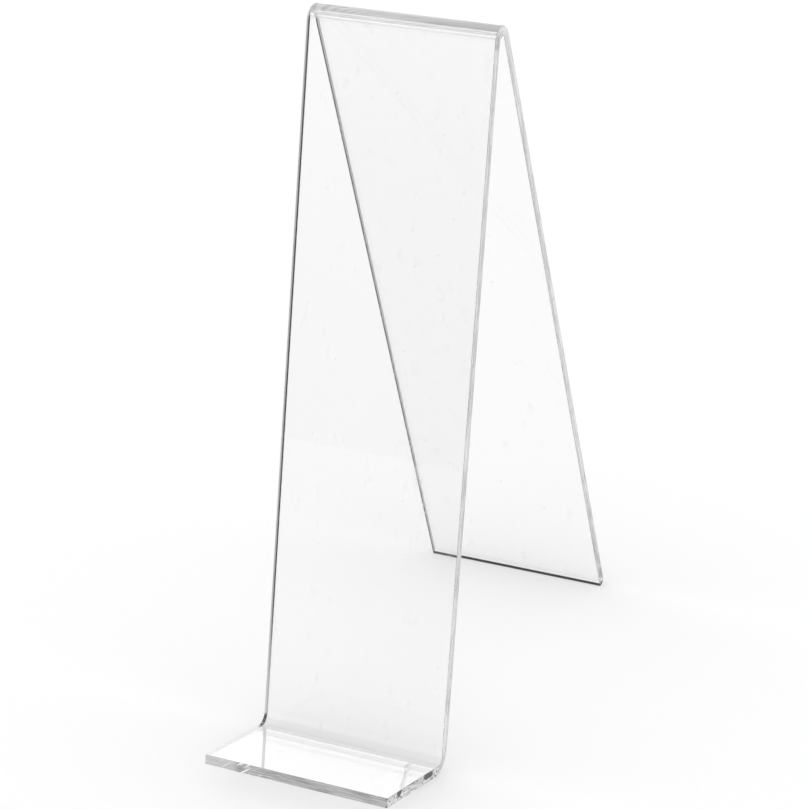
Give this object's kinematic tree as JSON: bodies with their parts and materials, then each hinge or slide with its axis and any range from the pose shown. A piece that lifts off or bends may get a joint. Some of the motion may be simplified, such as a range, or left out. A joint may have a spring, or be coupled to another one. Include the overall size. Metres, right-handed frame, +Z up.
{
  "type": "photo album stand",
  "caption": "Clear acrylic easel stand bent from one strip: a shallow ledge and a leaning panel hold an album or a book upright, and a rear leg props it.",
  "frame": {"origin": "middle of the stand's footprint, on the table", "axes": "+Z up, the front with its ledge faces -Y, X along the strip's width"},
  "size_m": [0.06, 0.154, 0.2114],
  "materials": {
    "clear_acrylic": "clear and colourless, glossy faces, cut edges trimmed and lightly polished"
  },
  "bodies": {
    "root": {"ledge": "clear_acrylic", "lower_bend": "clear_acrylic", "back_panel": "clear_acrylic", "top_bend": "clear_acrylic", "rear_leg": "clear_acrylic"}
  },
  "joints": []
}
